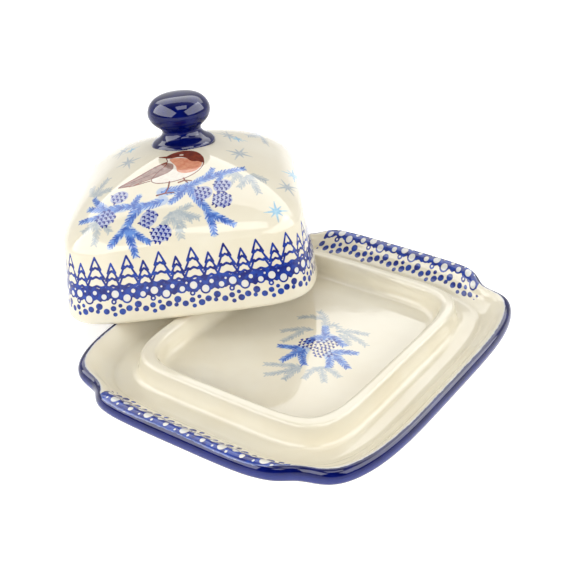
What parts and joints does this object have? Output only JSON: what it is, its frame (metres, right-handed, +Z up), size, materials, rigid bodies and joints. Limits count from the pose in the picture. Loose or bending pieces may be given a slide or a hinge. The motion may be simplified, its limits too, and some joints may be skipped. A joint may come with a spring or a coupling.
{
  "type": "butter dish",
  "caption": "Glazed stoneware butter dish: a tray with tab handles and a raised collar, and a loose loaf-shaped cover with a round knob, shown leaning on the tray.",
  "frame": {"origin": "middle of the tray's flat foot, on the table", "axes": "+X along the tray towards one tab handle, +Y across the tray towards the side the cover leans over, +Z up"},
  "size_m": [0.2059, 0.2386, 0.0929],
  "materials": {
    "tray_glaze": "gloss cream glaze with a cobalt blue lip and stamped blue decoration",
    "cover_glaze": "gloss cream glaze with stamped blue decoration",
    "knob_glaze": "gloss cobalt blue glaze"
  },
  "bodies": {
    "tray": {"tray": "tray_glaze"},
    "cover": {"cover": "cover_glaze", "knob": "knob_glaze"}
  },
  "joints": [
    {"name": "cover_lift", "type": "slide", "parent": "tray", "child": "cover", "axis": [0, 0, 1], "range_m": [0, 0.13]}
  ]
}
